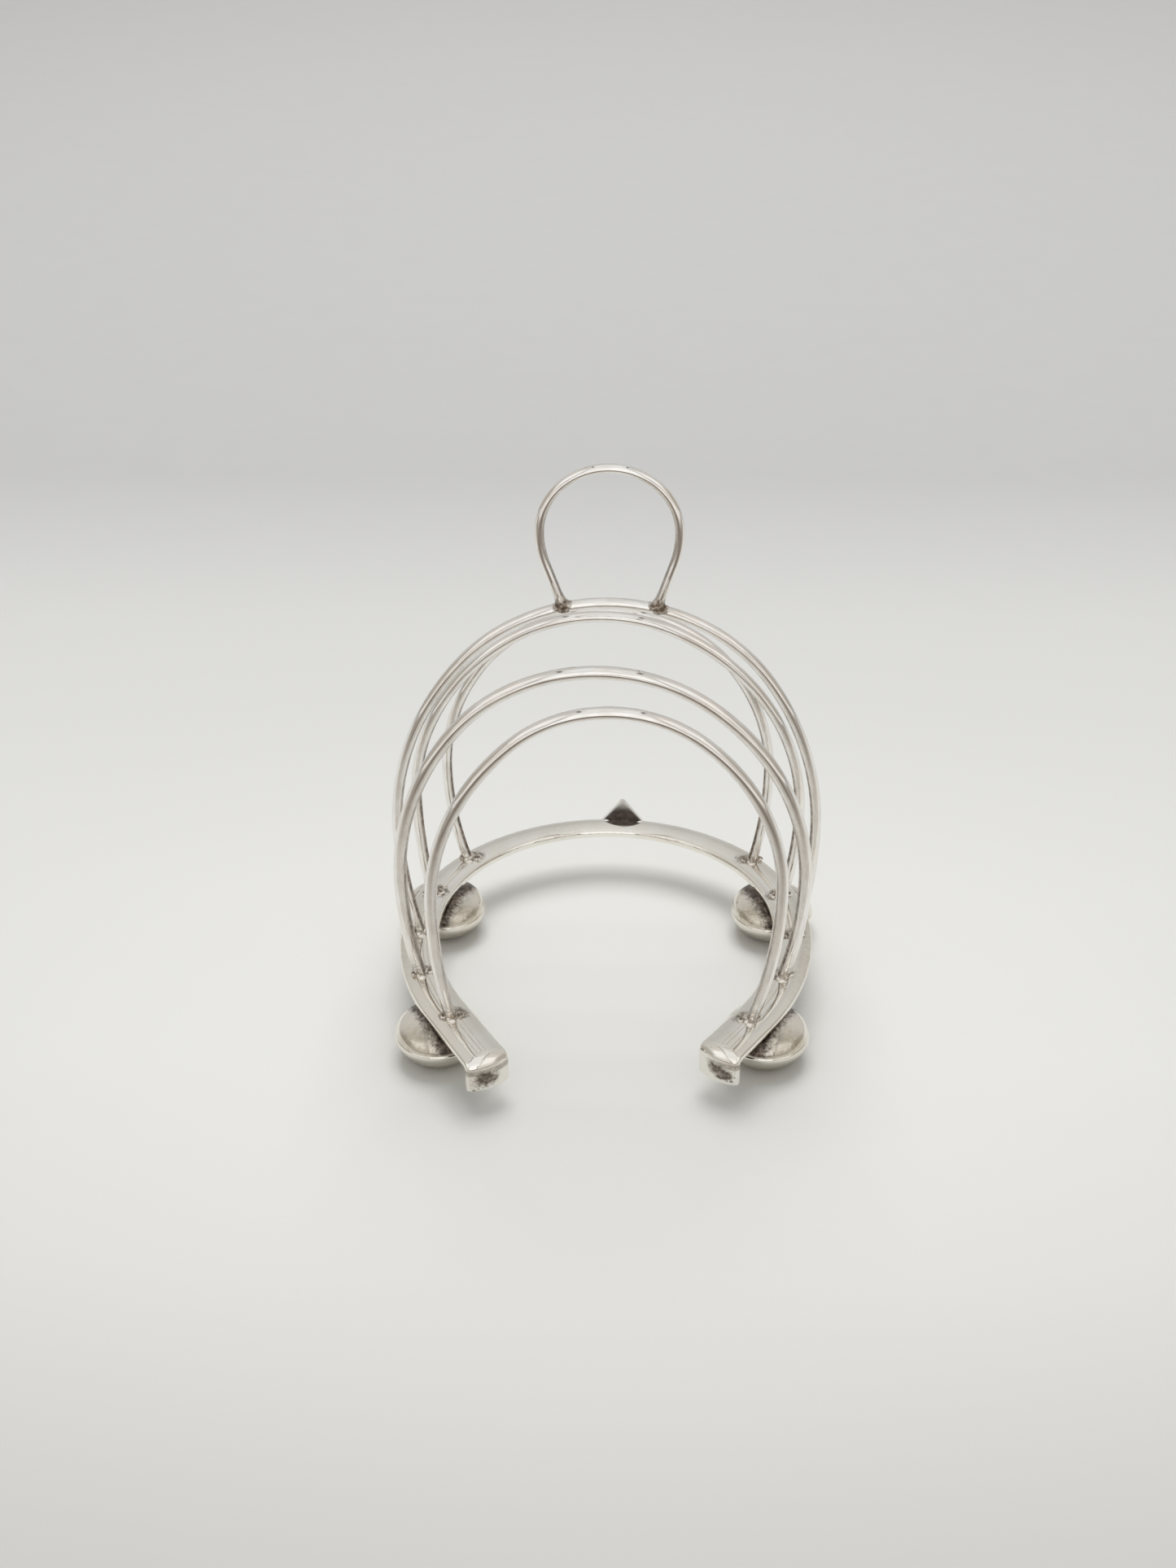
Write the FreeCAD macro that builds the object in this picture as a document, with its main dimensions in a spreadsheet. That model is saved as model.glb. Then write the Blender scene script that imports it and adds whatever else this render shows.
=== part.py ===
import FreeCAD, Part
import math
import os
import Sketcher

# Horseshoe toast rack: five bent-wire hoops and a ring handle soldered to a horseshoe bar on bun feet.
# Millimetres. +Z is up, the table is z = 0, the toe of the shoe points to +Y and the heels to -Y.

doc = FreeCAD.newDocument("toast_rack")
V = FreeCAD.Vector

# ---------------------------------------------------------------- driving dimensions
DIMENSIONS = [
    ("crest_height", 15.0, "top of the domed bar above the table"),
    ("shoe_shift", -1.52, "centre hoop's plane, measured from the middle of the overall length"),
    ("toe_width", 6.9, "horseshoe bar at the toe, edge to edge"),
    ("side_width", 10.0, "horseshoe bar at its widest spread"),
    ("arm_width", 11.2, "horseshoe bar where the arms straighten"),
    ("heel_width", 11.6, "horseshoe bar at the heels"),
    ("bar_depth", 2.6, "horseshoe bar, crest to underside"),
    ("toe_crown", 7.0, "dome of the bar at the toe"),
    ("side_crown", 10.0, "dome of the bar at its widest spread"),
    ("arm_crown", 11.5, "dome of the bar where the arms straighten"),
    ("heel_crown", 12.0, "dome of the bar at the heels"),
    ("shoulder_radius", 1.3, "tighter rounding at both edges of the bar"),
    ("toe_radius", 49.6, "bar centreline round the toe"),
    ("toe_centre", 4.3, "toe arc's centre behind the centre hoop"),
    ("side_radius", 69.5, "bar centreline along each side"),
    ("left_arm_angle", 31.0, "degrees the left heel end turns inward"),
    ("right_arm_angle", 34.0, "degrees the right heel end turns inward"),
    ("left_arm", 21.3, "straight length before the left heel bend"),
    ("right_arm", 13.8, "straight length before the right heel bend"),
    ("heel_bend", 3.4, "outside radius of the heel bend"),
    ("heel_drop", 9.2, "crest of the bar to the tip of the heel"),
    ("ring_wire", 1.15, "radius of the round wire of the handle"),
    ("wire_seat", 1.9, "depth of the wire ends below the crest"),
    ("foot_radius", 11.15, "bun foot, widest"),
    ("foot_rim_radius", 10.9, "bun foot at its crisp rim"),
    ("foot_rim_height", 7.2, "crisp rim above the table"),
    ("foot_dome_radius", 8.5, "bun foot half-way up its dome"),
    ("foot_dome_height", 10.6, "half-way up the dome, above the table"),
    ("foot_girth_height", 6.3, "widest part above the table"),
    ("foot_base_radius", 4.4, "flat under the bun foot"),
    ("foot_neck_radius", 3.2, "top of the foot under the bar"),
    ("ring_radius", 16.7, "handle ring centreline"),
    ("ring_height", 116.8, "handle ring centre above the crest"),
    ("ring_offset", 1.8, "handle ring centre to the right of the middle"),
    ("ring_flank_radius", 25.7, "handle below its widest point"),
    ("ring_leg_angle", 19.0, "degrees the handle legs lean inward"),
    ("clip_height", 6.1, "toe clip apex above the crest"),
    ("clip_half_width", 5.9, "toe clip at its foot"),
    ("clip_apex_radius", 0.9, "rounded tip of the toe clip"),
    ("clip_thickness", 1.3, "toe clip plate"),
    ("clip_offset", 3.5, "toe clip to the right of the middle"),
]

# Hoops from the toe to the heels. Each was bent by hand, so its two sides differ a little:
# plane (y), height and radius of the top, how far the top leans, and then for the left and the right
# side the half width, the height of the widest point and the distance of the foot from the middle.
# The last number is the radius of the round wire.
HOOP_CELLS = ("plane", "height", "top_radius", "lean", "left", "right",
              "left_girth", "right_girth", "left_stance", "right_stance", "wire")
HOOPS = [
    ("rear_hoop", 35.3, 77.5, 41.4, -0.2, 43.7, 43.5, 29.5, 29.0, 38.7, 39.3, 1.35),
    ("mid_rear_hoop", 18.1, 85.0, 43.7, -1.1, 50.3, 51.0, 30.6, 27.7, 47.3, 46.8, 1.4),
    ("centre_hoop", 0.0, 98.2, 48.0, 1.1, 53.3, 54.0, 33.2, 33.8, 48.5, 49.4, 1.37),
    ("mid_front_hoop", -18.1, 89.1, 44.5, -1.1, 51.0, 50.6, 29.3, 30.4, 46.9, 45.4, 1.65),
    ("front_hoop", -36.2, 88.6, 34.1, 2.3, 41.5, 43.8, 32.8, 39.1, 37.7, 36.7, 1.54),
]

# Feet: label, x and y of the centre (the y counts from the centre hoop).
FEET = [
    ("foot_front_left", -41.9, -31.9),
    ("foot_front_right", 41.3, -31.3),
    ("foot_rear_left", -45.0, 23.3),
    ("foot_rear_right", 45.0, 23.6),
]

sheet = doc.addObject("Spreadsheet::Sheet", "dims")
DIM = {}
NEXT_ROW = [1]


def add_cell(alias, value, note=""):
    row = NEXT_ROW[0]
    sheet.set("A%d" % row, alias)
    sheet.set("B%d" % row, str(value))
    sheet.set("C%d" % row, note)
    sheet.setAlias("B%d" % row, alias)
    NEXT_ROW[0] = row + 1


for alias, value, note in DIMENSIONS:
    add_cell(alias, value, note)
    DIM[alias] = value
for hoop in HOOPS:
    for cell, value in zip(HOOP_CELLS, hoop[1:]):
        add_cell("%s_%s" % (hoop[0], cell), value)
        DIM["%s_%s" % (hoop[0], cell)] = value
for label, foot_x, foot_y in FEET:
    add_cell(label + "_x", foot_x)
    add_cell(label + "_y", foot_y)
doc.recompute()


# ---------------------------------------------------------------- helpers
def origin_feature(body, role):
    return [f for f in body.Origin.OriginFeatures if f.Role == role][0]


def new_body(name):
    body = doc.addObject("PartDesign::Body", name + "_body")
    doc.recompute()
    return body


def new_sketch(body, name, plane="XY_Plane", offset=None):
    sketch = body.newObject("Sketcher::SketchObject", name)
    sketch.AttachmentSupport = [(origin_feature(body, plane), "")]
    sketch.MapMode = "FlatFace"
    if offset is not None:
        sketch.AttachmentOffset = offset
    return sketch


def bind(sketch, constraint, expression):
    sketch.setExpression("Constraints[%d]" % constraint, expression)


def arc(centre, radius, start, end):
    """Counter-clockwise arc between two directions in degrees."""
    circle = Part.Circle(V(centre[0], centre[1], 0), V(0, 0, 1), radius)
    return Part.ArcOfCircle(circle, math.radians(start), math.radians(end))


def three_point_arc(first, middle, last):
    return Part.Arc(V(first[0], first[1], 0), V(middle[0], middle[1], 0), V(last[0], last[1], 0))


def line(first, last):
    return Part.LineSegment(V(first[0], first[1], 0), V(last[0], last[1], 0))


def constrain(sketch, *args):
    return sketch.addConstraint(Sketcher.Constraint(*args))


def tangent(sketch, first, first_end, second, second_end):
    return constrain(sketch, "Tangent", first, first_end, second, second_end)


def add_pipe(body, name, profile, path, edges, sections=None):
    pipe = body.newObject("PartDesign::AdditivePipe", name)
    pipe.Profile = profile
    pipe.Spine = (path, ["Edge%d" % (i + 1) for i in range(edges)])
    if sections:
        pipe.Sections = sections
        pipe.Transformation = "Multisection"
    doc.recompute()
    return pipe


def boolean_cut(name, base, tools):
    """Takes every tool away from the base, and leaves the tools as they are."""
    if len(tools) == 1:
        tool = tools[0]
    else:
        tool = doc.addObject("Part::MultiFuse", name + "_tools")
        tool.Shapes = tools
    cut = doc.addObject("Part::Cut", name)
    cut.Base = base
    cut.Tool = tool
    doc.recompute()
    return cut


# ---------------------------------------------------------------- horseshoe bar
START, END, CENTRE = 1, 2, 3


def bar_section(body, name, station, offset):
    """Domed cross-section of the bar at one station, crest at the sketch origin."""
    width_cell, crown_cell = "dims.%s_width" % station, "dims.%s_crown" % station
    half, crown = DIM[station + "_width"] / 2, DIM[station + "_crown"]
    depth, shoulder = DIM["bar_depth"], DIM["shoulder_radius"]
    shoulder_x = half - shoulder
    reach = math.sqrt((crown - shoulder) ** 2 - shoulder_x ** 2)
    shoulder_y = reach - crown
    turn = math.degrees(math.atan2(reach, shoulder_x))
    sketch = new_sketch(body, name, "XY_Plane", offset)
    sketch.addGeometry(arc((shoulder_x, shoulder_y), shoulder, 0, turn))
    sketch.addGeometry(arc((0, -crown), crown, turn, 180 - turn))
    sketch.addGeometry(arc((-shoulder_x, shoulder_y), shoulder, 180 - turn, 180))
    sketch.addGeometry(line((-half, shoulder_y), (-half, -depth)))
    sketch.addGeometry(line((-half, -depth), (half, -depth)))
    sketch.addGeometry(line((half, -depth), (half, shoulder_y)))
    tangent(sketch, 0, END, 1, START)
    tangent(sketch, 1, END, 2, START)
    tangent(sketch, 2, END, 3, START)
    tangent(sketch, 5, END, 0, START)
    constrain(sketch, "Coincident", 3, END, 4, START)
    constrain(sketch, "Coincident", 4, END, 5, START)
    constrain(sketch, "Vertical", 3)
    constrain(sketch, "Vertical", 5)
    constrain(sketch, "Horizontal", 4)
    constrain(sketch, "PointOnObject", 1, CENTRE, -2)
    bind(sketch, constrain(sketch, "Radius", 1, crown), crown_cell)
    bind(sketch, constrain(sketch, "DistanceY", 1, CENTRE, -1, 1, crown), crown_cell)
    bind(sketch, constrain(sketch, "Radius", 0, shoulder), "dims.shoulder_radius")
    bind(sketch, constrain(sketch, "Radius", 2, shoulder), "dims.shoulder_radius")
    bind(sketch, constrain(sketch, "DistanceX", 3, END, -1, 1, half), width_cell + " / 2")
    bind(sketch, constrain(sketch, "DistanceX", -1, 1, 5, START, half), width_cell + " / 2")
    bind(sketch, constrain(sketch, "DistanceY", 4, START, -1, 1, depth), "dims.bar_depth")
    return sketch


def upright_plane(point, heading):
    """Sketch plane standing on a crest point: its x runs along the heading, its y is up."""
    turn = FreeCAD.Rotation(V(0, 0, 1), heading) * FreeCAD.Rotation(V(1, 0, 0), 90)
    return FreeCAD.Placement(point, turn)


def build_bar():
    toe, side = DIM["toe_radius"], DIM["side_radius"]
    angle = {-1: DIM["left_arm_angle"], 1: DIM["right_arm_angle"]}
    arms = {-1: DIM["left_arm"], 1: DIM["right_arm"]}
    centre_y = DIM["toe_centre"] + DIM["shoe_shift"]
    crest = DIM["crest_height"]
    inset = side - toe
    turns, tips, drops = {}, {}, {}
    for hand in (-1, 1):
        sin_arm, cos_arm = math.sin(math.radians(angle[hand])), math.cos(math.radians(angle[hand]))
        drops[hand] = side * sin_arm
        turns[hand] = V(hand * (side * cos_arm - inset), centre_y - drops[hand], crest)
        tips[hand] = turns[hand] - V(hand * arms[hand] * sin_arm, arms[hand] * cos_arm, 0)

    body = new_body("bar")
    level = FreeCAD.Placement(V(0, 0, crest), FreeCAD.Rotation())
    path = new_sketch(body, "bar_centreline", "XY_Plane", level)
    path.setExpression("AttachmentOffset.Base.z", "dims.crest_height")
    path.addGeometry(line((tips[1].x, tips[1].y), (turns[1].x, turns[1].y)))
    path.addGeometry(arc((-inset, centre_y), side, -angle[1], 0))
    path.addGeometry(arc((0, centre_y), toe, 0, 180))
    path.addGeometry(arc((inset, centre_y), side, 180, 180 + angle[-1]))
    path.addGeometry(line((turns[-1].x, turns[-1].y), (tips[-1].x, tips[-1].y)))
    tangent(path, 0, END, 1, START)
    tangent(path, 1, END, 2, START)
    tangent(path, 2, END, 3, START)
    tangent(path, 3, END, 4, START)
    constrain(path, "PointOnObject", 2, CENTRE, -2)
    bind(path, constrain(path, "DistanceY", -1, 1, 2, CENTRE, centre_y), "dims.toe_centre + dims.shoe_shift")
    bind(path, constrain(path, "Radius", 2, toe), "dims.toe_radius")
    for side_arc in (1, 3):
        bind(path, constrain(path, "Radius", side_arc, side), "dims.side_radius")
        constrain(path, "Horizontal", side_arc, CENTRE, 2, CENTRE)
    bind(path, constrain(path, "Distance", 0, arms[1]), "dims.right_arm")
    bind(path, constrain(path, "Distance", 4, arms[-1]), "dims.left_arm")
    for side_arc, end, hand, word in ((1, START, 1, "right"), (3, END, -1, "left")):
        bind(path, constrain(path, "DistanceY", side_arc, end, 2, CENTRE, drops[hand]),
             "dims.side_radius * sin(dims.%s_arm_angle * 1 deg)" % word)
    stations = [
        ("right_heel_end", "heel", tips[1], 90 - angle[1]),
        ("right_arm", "arm", turns[1], 90 - angle[1]),
        ("right_side", "side", V(toe, centre_y, crest), 90),
        ("toe", "toe", V(0, centre_y + toe, crest), 180),
        ("left_side", "side", V(-toe, centre_y, crest), 270),
        ("left_arm", "arm", turns[-1], 270 + angle[-1]),
        ("left_heel_end", "heel", tips[-1], 270 + angle[-1]),
    ]
    sections = []
    for name, station, point, travel in stations:
        sections.append(bar_section(body, name + "_section", station, upright_plane(point, travel - 90)))
    doc.recompute()
    add_pipe(body, "bar_sweep", sections[0], path, 5, sections[1:])

    bend, drop = DIM["heel_bend"], DIM["heel_drop"]
    heading = {1: -90 - angle[1], -1: -90 + angle[-1]}
    for hand, word in ((-1, "left"), (1, "right")):
        fold = new_sketch(body, word + "_heel_line", "XY_Plane", upright_plane(tips[hand], heading[hand]))
        fold.addGeometry(arc((0, -bend), bend, 0, 90))
        fold.addGeometry(line((bend, -bend), (bend, -drop)))
        constrain(fold, "Coincident", 0, END, -1, 1)
        constrain(fold, "PointOnObject", 0, CENTRE, -2)
        constrain(fold, "Coincident", 0, START, 1, START)
        constrain(fold, "Horizontal", 0, CENTRE, 0, START)
        constrain(fold, "Vertical", 1)
        bind(fold, constrain(fold, "Radius", 0, bend), "dims.heel_bend")
        bind(fold, constrain(fold, "DistanceY", 1, END, -1, 1, drop), "dims.heel_drop")
        section = bar_section(body, word + "_heel_section", "heel",
                              upright_plane(tips[hand], heading[hand] + 90))
        doc.recompute()
        add_pipe(body, word + "_heel", section, fold, 2)
    return body


# ---------------------------------------------------------------- wires
def wire_profile(body, name, point, lean, cell):
    """Round wire section, square to a wire that leans sideways from the vertical."""
    offset = FreeCAD.Placement(point, FreeCAD.Rotation(V(0, 1, 0), lean))
    sketch = new_sketch(body, name, "XY_Plane", offset)
    sketch.addGeometry(Part.Circle(V(0, 0, 0), V(0, 0, 1), DIM[cell]))
    constrain(sketch, "Coincident", 0, CENTRE, -1, 1)
    bind(sketch, constrain(sketch, "Radius", 0, DIM[cell]), "dims." + cell)
    return sketch


def build_hoop(label):
    """Five tangent arcs in one upright plane: two legs, two shoulders and the top."""
    plane, height, top, lean = [DIM["%s_%s" % (label, c)] for c in HOOP_CELLS[:4]]
    crest, seat = DIM["crest_height"], DIM["wire_seat"]
    y = plane + DIM["shoe_shift"]
    body = new_body(label)
    plane_turn = FreeCAD.Placement(V(0, crest, -y), FreeCAD.Rotation())
    path = new_sketch(body, label + "_line", "XZ_Plane", plane_turn)
    path.setExpression("AttachmentOffset.Base.y", "dims.crest_height")
    path.setExpression("AttachmentOffset.Base.z", "-(dims.%s_plane + dims.shoe_shift)" % label)
    sides = {}
    for hand, word in ((-1, "left"), (1, "right")):
        half, girth, stance = [DIM["%s_%s%s" % (label, word, c)] for c in ("", "_girth", "_stance")]
        rise = height - top - girth
        reach = half - hand * lean
        shoulder = (reach ** 2 + rise ** 2 - top ** 2) / (2 * (reach - top))
        turn = math.degrees(math.atan2(rise, shoulder - reach))
        tuck = half - stance
        leg = ((girth + seat) ** 2 + tuck ** 2) / (2 * tuck)
        foot = math.degrees(math.asin((girth + seat) / leg))
        sides[hand] = (half, girth, stance, shoulder, turn, leg, foot)
    half, girth, stance, shoulder, turn, leg, foot = sides[-1]
    half_r, girth_r, stance_r, shoulder_r, turn_r, leg_r, foot_r = sides[1]
    path.addGeometry(arc((leg - half, girth), leg, 180, 180 + foot))
    path.addGeometry(arc((shoulder - half, girth), shoulder, 180 - turn, 180))
    path.addGeometry(arc((lean, height - top), top, turn_r, 180 - turn))
    path.addGeometry(arc((half_r - shoulder_r, girth_r), shoulder_r, 0, turn_r))
    path.addGeometry(arc((half_r - leg_r, girth_r), leg_r, -foot_r, 0))
    tangent(path, 0, START, 1, END)
    tangent(path, 1, START, 2, END)
    tangent(path, 2, START, 3, END)
    tangent(path, 3, START, 4, END)
    cell = "dims.%s_" % label
    bind(path, constrain(path, "Radius", 2, top), cell + "top_radius")
    bind(path, constrain(path, "DistanceY", -1, 1, 2, CENTRE, height - top),
         cell + "height - " + cell + "top_radius")
    bind(path, constrain(path, "DistanceX", 1, END, 2, CENTRE, half + lean), cell + "left + " + cell + "lean")
    bind(path, constrain(path, "DistanceX", 1, END, -1, 1, half), cell + "left")
    bind(path, constrain(path, "DistanceX", -1, 1, 3, START, half_r), cell + "right")
    for shoulder_arc, end, word, widest in ((1, END, "left", girth), (3, START, "right", girth_r)):
        bind(path, constrain(path, "DistanceY", -1, 1, shoulder_arc, end, widest), cell + word + "_girth")
        constrain(path, "Horizontal", shoulder_arc, CENTRE, shoulder_arc, end)
    bind(path, constrain(path, "DistanceX", 0, END, -1, 1, stance), cell + "left_stance")
    bind(path, constrain(path, "DistanceX", -1, 1, 4, START, stance_r), cell + "right_stance")
    bind(path, constrain(path, "DistanceY", 0, END, -1, 1, seat), "dims.wire_seat")
    bind(path, constrain(path, "DistanceY", 4, START, -1, 1, seat), "dims.wire_seat")
    profile = wire_profile(body, label + "_section", V(-stance, y, crest - seat), -foot, label + "_wire")
    doc.recompute()
    add_pipe(body, label + "_sweep", profile, path, 5)
    return body


def build_handle():
    """Ring with two legs, trimmed by the centre hoop it stands on."""
    crest, y = DIM["crest_height"], DIM["shoe_shift"]
    ring, flank, angle = DIM["ring_radius"], DIM["ring_flank_radius"], DIM["ring_leg_angle"]
    centre = (DIM["ring_offset"], DIM["ring_height"])
    foot_z = DIM["centre_hoop_height"] - 1.1
    sin_leg, cos_leg = math.sin(math.radians(angle)), math.cos(math.radians(angle))
    knee_x = ring - flank + flank * cos_leg
    knee_z = centre[1] - flank * sin_leg
    foot_x = knee_x - (knee_z - foot_z) * sin_leg / cos_leg
    body = new_body("handle")
    path = new_sketch(body, "handle_line", "XZ_Plane", FreeCAD.Placement(V(0, crest, -y), FreeCAD.Rotation()))
    path.setExpression("AttachmentOffset.Base.y", "dims.crest_height")
    path.setExpression("AttachmentOffset.Base.z", "-dims.shoe_shift")
    path.addGeometry(line((centre[0] - foot_x, foot_z), (centre[0] - knee_x, knee_z)))
    path.addGeometry(arc((centre[0] + flank - ring, centre[1]), flank, 180, 180 + angle))
    path.addGeometry(arc(centre, ring, 0, 180))
    path.addGeometry(arc((centre[0] + ring - flank, centre[1]), flank, -angle, 0))
    path.addGeometry(line((centre[0] + knee_x, knee_z), (centre[0] + foot_x, foot_z)))
    tangent(path, 0, END, 1, END)
    tangent(path, 1, START, 2, END)
    tangent(path, 2, START, 3, END)
    tangent(path, 3, START, 4, START)
    bind(path, constrain(path, "Radius", 2, ring), "dims.ring_radius")
    bind(path, constrain(path, "DistanceX", -1, 1, 2, CENTRE, centre[0]), "dims.ring_offset")
    bind(path, constrain(path, "DistanceY", -1, 1, 2, CENTRE, centre[1]), "dims.ring_height")
    for flank_arc, far_end in ((1, END), (3, START)):
        bind(path, constrain(path, "Radius", flank_arc, flank), "dims.ring_flank_radius")
        constrain(path, "Horizontal", flank_arc, CENTRE, 2, CENTRE)
        bind(path, constrain(path, "DistanceY", flank_arc, far_end, 2, CENTRE, flank * sin_leg),
             "dims.ring_flank_radius * sin(dims.ring_leg_angle * 1 deg)")
    for leg_line, end in ((0, START), (4, END)):
        bind(path, constrain(path, "DistanceY", -1, 1, leg_line, end, foot_z),
             "dims.centre_hoop_height - 1.1")
    leg_end = V(centre[0] - foot_x, y, crest + foot_z)
    profile = wire_profile(body, "handle_section", leg_end, -angle, "ring_wire")
    doc.recompute()
    add_pipe(body, "handle_sweep", profile, path, 5)
    return body, foot_x


# ---------------------------------------------------------------- feet
def build_foot(label, foot_x, foot_y):
    """Bun turned about its own axis: flat under, round girth, crisp rim, shallow lid."""
    girth_r, girth_z = DIM["foot_radius"], DIM["foot_girth_height"]
    rim_r, rim_z = DIM["foot_rim_radius"], DIM["foot_rim_height"]
    base_r, neck_r = DIM["foot_base_radius"], DIM["foot_neck_radius"]
    top_z = DIM["crest_height"] - DIM["bar_depth"]
    body = new_body(label)
    where = FreeCAD.Placement(V(foot_x, 0, -(foot_y + DIM["shoe_shift"])), FreeCAD.Rotation())
    sketch = new_sketch(body, label + "_profile", "XZ_Plane", where)
    sketch.setExpression("AttachmentOffset.Base.x", "dims.%s_x" % label)
    sketch.setExpression("AttachmentOffset.Base.z", "-(dims.%s_y + dims.shoe_shift)" % label)
    dome_r, dome_z = DIM["foot_dome_radius"], DIM["foot_dome_height"]
    spread = girth_r - base_r
    lower = three_point_arc((base_r, 0), (base_r + 0.646 * spread, 0.327 * girth_z), (girth_r, girth_z))
    shoulder = three_point_arc((girth_r, girth_z), (girth_r - 0.03, girth_z + 0.5), (rim_r, rim_z))
    flank_middle = (0.5 * (rim_r + dome_r) + 0.4515, 0.5 * (rim_z + dome_z) + 0.319)
    flank = three_point_arc((rim_r, rim_z), flank_middle, (dome_r, dome_z))
    lid_middle = (0.5 * (dome_r + neck_r) + 0.049, 0.5 * (dome_z + top_z) + 0.144)
    lid = three_point_arc((dome_r, dome_z), lid_middle, (neck_r, top_z))
    sketch.addGeometry(line((0, 0), (base_r, 0)))
    sketch.addGeometry(lower)
    sketch.addGeometry(shoulder)
    sketch.addGeometry(flank)
    sketch.addGeometry(lid)
    sketch.addGeometry(line((neck_r, top_z), (0, top_z)))
    sketch.addGeometry(line((0, top_z), (0, 0)))
    points = [
        (base_r, 0, "foot_base_radius", None),
        (girth_r, girth_z, "foot_radius", "dims.foot_girth_height"),
        (rim_r, rim_z, "foot_rim_radius", "dims.foot_rim_height"),
        (dome_r, dome_z, "foot_dome_radius", "dims.foot_dome_height"),
        (neck_r, top_z, "foot_neck_radius", "dims.crest_height - dims.bar_depth"),
    ]
    constrain(sketch, "Coincident", 0, START, -1, 1)
    constrain(sketch, "Horizontal", 0)
    constrain(sketch, "Horizontal", 5)
    constrain(sketch, "Vertical", 6)
    constrain(sketch, "Coincident", 5, END, 6, START)
    constrain(sketch, "Coincident", 6, END, 0, START)
    ends = [(0, END)] + [(i, arc_end(sketch, i, points[i])) for i in (1, 2, 3, 4)]
    starts = [(i + 1, other_end(ends[i + 1][1])) if i < 4 else (5, START) for i in range(5)]
    for (geo, end), (follow, begin), (px, pz, radius_cell, height) in zip(ends, starts, points):
        constrain(sketch, "Coincident", geo, end, follow, begin)
        bind(sketch, constrain(sketch, "DistanceX", -1, 1, geo, end, px), "dims." + radius_cell)
        if height:
            bind(sketch, constrain(sketch, "DistanceY", -1, 1, geo, end, pz), height)
    doc.recompute()
    turned = body.newObject("PartDesign::Revolution", label + "_turned")
    turned.Profile = sketch
    turned.ReferenceAxis = (sketch, ["V_Axis"])
    turned.Angle = 360
    doc.recompute()
    return body


def arc_end(sketch, geo, point):
    """Which end of an arc lies on the point."""
    first = sketch.getPoint(geo, START)
    near = math.hypot(first.x - point[0], first.y - point[1]) < 1e-6
    return START if near else END


def other_end(end):
    return START if end == END else END


# ---------------------------------------------------------------- toe clip and solder
def build_clip(bar):
    """Rounded triangle cut from an upright wall that follows the outer edge of the toe."""
    crest, apex = DIM["crest_height"], DIM["clip_height"]
    half, tip, off = DIM["clip_half_width"], DIM["clip_apex_radius"], DIM["clip_offset"]
    centre_y = DIM["toe_centre"] + DIM["shoe_shift"]
    outer = doc.addObject("Part::Cylinder", "clip_outside")
    inner = doc.addObject("Part::Cylinder", "clip_inside")
    for cylinder, inset in ((outer, "0.3"), (inner, "(0.3 + dims.clip_thickness)")):
        cylinder.setExpression("Radius", "dims.toe_radius + dims.toe_width / 2 - %s" % inset)
        cylinder.Height = 12
        cylinder.Placement = FreeCAD.Placement(V(0, centre_y, crest - 2.2), FreeCAD.Rotation())
        cylinder.setExpression("Placement.Base.y", "dims.toe_centre + dims.shoe_shift")
        cylinder.setExpression("Placement.Base.z", "dims.crest_height - 2.2")
    wall = boolean_cut("clip_wall", outer, [inner])
    body = new_body("clip")
    sketch = new_sketch(body, "clip_outline", "XZ_Plane",
                        FreeCAD.Placement(V(off, crest, -(centre_y + 50)), FreeCAD.Rotation()))
    root = -2.2
    slope = math.atan2(apex + 1.0, half)
    turn = math.degrees(math.pi / 2 - slope)
    tip_y = apex - tip
    touch = (tip * math.cos(math.radians(turn)), tip_y + tip * math.sin(math.radians(turn)))
    foot_x = touch[0] + (touch[1] - root) / math.tan(slope)
    sketch.addGeometry(arc((0, tip_y), tip, turn, 180 - turn))
    sketch.addGeometry(line((-touch[0], touch[1]), (-foot_x, root)))
    sketch.addGeometry(line((-foot_x, root), (foot_x, root)))
    sketch.addGeometry(line((foot_x, root), touch))
    tangent(sketch, 0, END, 1, START)
    tangent(sketch, 0, START, 3, END)
    constrain(sketch, "Coincident", 1, END, 2, START)
    constrain(sketch, "Coincident", 2, END, 3, START)
    constrain(sketch, "PointOnObject", 0, CENTRE, -2)
    constrain(sketch, "Symmetric", 1, END, 2, END, -2)
    bind(sketch, constrain(sketch, "Radius", 0, tip), "dims.clip_apex_radius")
    bind(sketch, constrain(sketch, "DistanceY", -1, 1, 0, CENTRE, tip_y),
         "dims.clip_height - dims.clip_apex_radius")
    constrain(sketch, "DistanceY", 2, START, -1, 1, -root)
    constrain(sketch, "DistanceX", 2, START, 2, END, 2 * foot_x)
    doc.recompute()
    pad = body.newObject("PartDesign::Pad", "clip_pad")
    pad.Profile = sketch
    pad.Length = 30
    pad.Midplane = True
    doc.recompute()
    plate = doc.addObject("Part::MultiCommon", "clip_plate")
    plate.Shapes = [wall, body]
    doc.recompute()
    return boolean_cut("toe_clip", plate, [bar])


def blob(name, centre, across, along, tall):
    """Ellipsoid of solder before the parts it wets are taken away."""
    solid = doc.addObject("Part::Ellipsoid", name)
    solid.Radius1 = tall
    solid.Radius2 = across
    solid.Radius3 = along
    solid.Angle1 = -90
    solid.Angle2 = 90
    solid.Angle3 = 360
    solid.Placement = FreeCAD.Placement(centre, FreeCAD.Rotation())
    return solid


def group(name, members):
    fused = doc.addObject("Part::MultiFuse", name)
    fused.Shapes = members
    doc.recompute()
    return fused


def finish_node(label, obj, nodes):
    obj.Label = label
    nodes[label] = obj


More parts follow.
